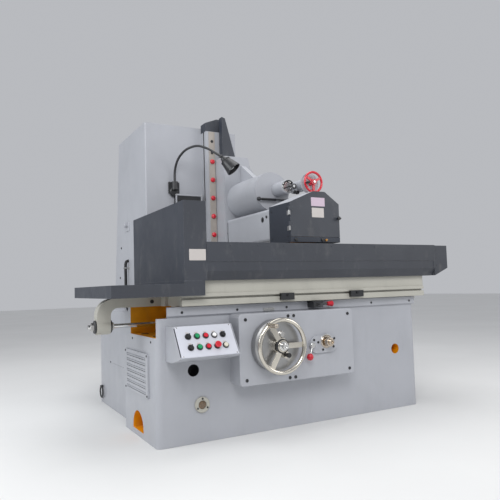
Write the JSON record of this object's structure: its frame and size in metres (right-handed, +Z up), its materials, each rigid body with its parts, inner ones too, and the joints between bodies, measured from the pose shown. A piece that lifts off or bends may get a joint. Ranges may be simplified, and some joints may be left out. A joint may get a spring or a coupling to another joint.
{
  "type": "column surface grinder",
  "caption": "Large surface grinder: hydraulic sliding table with splash guards, box column that moves across, rising wheel head with hooded wheel, and front controls.",
  "frame": {"origin": "centre of the front bed's footprint on the floor", "axes": "+X along the table's travel to the right, +Y from the operator towards the column, +Z up"},
  "size_m": [2.775, 2.78, 2.445],
  "materials": {
    "body_paint": "satin hammered enamel",
    "slate_paint": "textured powder coat",
    "table_paint": "satin enamel",
    "panel_plate": "satin plate",
    "chrome": "polished",
    "ground_steel": "ground",
    "bronze": "machined",
    "black_metal": "satin black",
    "black_plastic": "matte",
    "red_plastic": "gloss",
    "green_plastic": "gloss",
    "ivory_plastic": "gloss",
    "abrasive": "vitrified abrasive"
  },
  "bodies": {
    "bed": {"bed_casting": "body_paint", "rear_bed": "body_paint", "front_strip": "body_paint", "end_access_panel": "body_paint", "apron": "body_paint", "console_housing": "body_paint", "console_panel": "panel_plate", "operator_bezels": "chrome", "hydraulic_cylinder": "ground_steel", "reversing_block": "black_metal"},
    "table": {"table_casting": "table_paint", "magnetic_chuck": "ground_steel", "front_splash_guard": "slate_paint", "rear_splash_guard": "slate_paint", "right_end_guard": "slate_paint", "tall_end_guard": "slate_paint", "end_tray": "slate_paint", "arm_bracket": "table_paint", "piston_rod": "chrome"},
    "left_dog": {"trip_dog_left": "black_metal"},
    "right_dog": {"trip_dog_right": "black_metal"},
    "column": {"column_casting": "body_paint", "elevating_screw": "ground_steel", "guide_cap": "slate_paint", "lamp_base": "black_metal", "lamp_arm": "black_metal"},
    "lamp": {"lamp_head": "black_metal"},
    "head": {"saddle": "body_paint", "head_barrel": "body_paint", "spindle_housing": "body_paint", "spindle_bearings": "ground_steel", "motor_stator": "bronze", "elevating_nut": "bronze", "wheel_hood": "slate_paint", "door_hinges": "chrome", "feed_gearbox": "body_paint", "way_cover": "slate_paint"},
    "door": {"hood_door": "slate_paint"},
    "spindle_group": {"spindle": "chrome", "motor_rotor": "ground_steel", "grinding_wheel": "abrasive", "wheel_flange": "ground_steel"},
    "head_wheel": {"head_handwheel": "red_plastic"},
    "clamp": {"clamp_lever": "black_metal"},
    "front_wheel": {"handwheel": "chrome", "dial_drum": "ground_steel"},
    "crank": {"crank_grip": "black_plastic"},
    "clutch": {"clutch_knob": "black_plastic"},
    "feed": {"feed_lever": "red_plastic"},
    "throttle": {"throttle_knob": "ground_steel"},
    "reverser": {"reversing_lever": "red_plastic"},
    "selector_switch_upper_body": {"selector_switch_upper": "black_plastic"},
    "selector_switch_lower_body": {"selector_switch_lower": "black_plastic"},
    "key_switch_body": {"key_switch": "black_plastic"},
    "start_button_upper_body": {"start_button_upper": "green_plastic"},
    "start_button_lower_body": {"start_button_lower": "green_plastic"},
    "stop_button_upper_body": {"stop_button_upper": "red_plastic"},
    "stop_button_lower_body": {"stop_button_lower": "red_plastic"},
    "auxiliary_button_body": {"auxiliary_button": "ivory_plastic"},
    "emergency_stop_body": {"emergency_stop": "red_plastic"}
  },
  "joints": [
    {"name": "table_slide", "type": "slide", "parent": "bed", "child": "table", "axis": [1, 0, 0], "range_m": [-0.7, 0.56]},
    {"name": "left_dog_slide", "type": "slide", "parent": "table", "child": "left_dog", "axis": [1, 0, 0], "range_m": [-0.3, 0.22]},
    {"name": "right_dog_slide", "type": "slide", "parent": "table", "child": "right_dog", "axis": [1, 0, 0], "range_m": [-0.22, 0.4]},
    {"name": "column_cross", "type": "slide", "parent": "bed", "child": "column", "axis": [0, 1, 0], "range_m": [0, 0.5]},
    {"name": "lamp_tilt", "type": "hinge", "parent": "column", "child": "lamp", "pos_m": [-0.303, 0.251, 1.996], "axis": [1, 0, 0], "range_deg": [-20, 20]},
    {"name": "head_lift", "type": "slide", "parent": "column", "child": "head", "axis": [0, 0, 1], "range_m": [-0.045, 0.45]},
    {"name": "door_swing", "type": "hinge", "parent": "head", "child": "door", "pos_m": [-0.132, -0.438, 1.44], "axis": [0, 0, -1], "range_deg": [0, 105]},
    {"name": "spindle_spin", "type": "hinge", "parent": "head", "child": "spindle_group", "pos_m": [0.066, -0.3, 1.415], "axis": [0, 1, 0], "continuous": true},
    {"name": "head_handwheel_turn", "type": "hinge", "parent": "head", "child": "head_wheel", "pos_m": [0.203, -0.27, 1.729], "axis": [0, -1, 0], "continuous": true},
    {"name": "clamp_lever_turn", "type": "hinge", "parent": "head", "child": "clamp", "pos_m": [0.155, 0.015, 1.632], "axis": [0, -1, 0], "range_deg": [0, 14]},
    {"name": "handwheel_turn", "type": "hinge", "parent": "bed", "child": "front_wheel", "pos_m": [-0.33, -0.614, 0.582], "axis": [0, -1, 0], "continuous": true},
    {"name": "crank_spin", "type": "hinge", "parent": "front_wheel", "child": "crank", "pos_m": [-0.42521, -0.672, 0.71798], "axis": [0, -1, 0], "continuous": true},
    {"name": "clutch_pull", "type": "slide", "parent": "front_wheel", "child": "clutch", "axis": [0, -1, 0], "range_m": [0, 0.008]},
    {"name": "feed_lever_turn", "type": "hinge", "parent": "bed", "child": "feed", "pos_m": [-0.035, -0.51, 0.558], "axis": [0, -1, 0], "range_deg": [-20, 20]},
    {"name": "throttle_turn", "type": "hinge", "parent": "bed", "child": "throttle", "pos_m": [0.09, -0.53, 0.572], "axis": [0, -1, 0], "range_deg": [0, 270]},
    {"name": "reversing_swing", "type": "hinge", "parent": "bed", "child": "reverser", "pos_m": [0.08, -0.415, 0.826], "axis": [0, 0, 1], "range_deg": [-20, 8]},
    {"name": "start_button_upper_press", "type": "slide", "parent": "bed", "child": "start_button_upper_body", "axis": [0, 0.8306, -0.5568], "range_m": [0, 0.004], "stiffness_N_per_m": 400, "springref_m": -0.002},
    {"name": "start_button_lower_press", "type": "slide", "parent": "bed", "child": "start_button_lower_body", "axis": [0, 0.8306, -0.5568], "range_m": [0, 0.004], "stiffness_N_per_m": 400, "springref_m": -0.002},
    {"name": "stop_button_upper_press", "type": "slide", "parent": "bed", "child": "stop_button_upper_body", "axis": [0, 0.8306, -0.5568], "range_m": [0, 0.004], "stiffness_N_per_m": 400, "springref_m": -0.002},
    {"name": "stop_button_lower_press", "type": "slide", "parent": "bed", "child": "stop_button_lower_body", "axis": [0, 0.8306, -0.5568], "range_m": [0, 0.004], "stiffness_N_per_m": 400, "springref_m": -0.002},
    {"name": "auxiliary_button_press", "type": "slide", "parent": "bed", "child": "auxiliary_button_body", "axis": [0, 0.8306, -0.5568], "range_m": [0, 0.004], "stiffness_N_per_m": 400, "springref_m": -0.002},
    {"name": "emergency_stop_press", "type": "slide", "parent": "bed", "child": "emergency_stop_body", "axis": [0, 0.8306, -0.5568], "range_m": [0, 0.005], "stiffness_N_per_m": 600, "springref_m": -0.002},
    {"name": "selector_switch_upper_turn", "type": "hinge", "parent": "bed", "child": "selector_switch_upper_body", "pos_m": [-0.932, -0.52006, 0.67548], "axis": [0, -0.8306, 0.5568], "range_deg": [-45, 45]},
    {"name": "selector_switch_lower_turn", "type": "hinge", "parent": "bed", "child": "selector_switch_lower_body", "pos_m": [-0.932, -0.56127, 0.61401], "axis": [0, -0.8306, 0.5568], "range_deg": [-45, 45]},
    {"name": "key_switch_turn", "type": "hinge", "parent": "bed", "child": "key_switch_body", "pos_m": [-0.704, -0.52006, 0.67548], "axis": [0, -0.8306, 0.5568], "range_deg": [0, 90]}
  ]
}
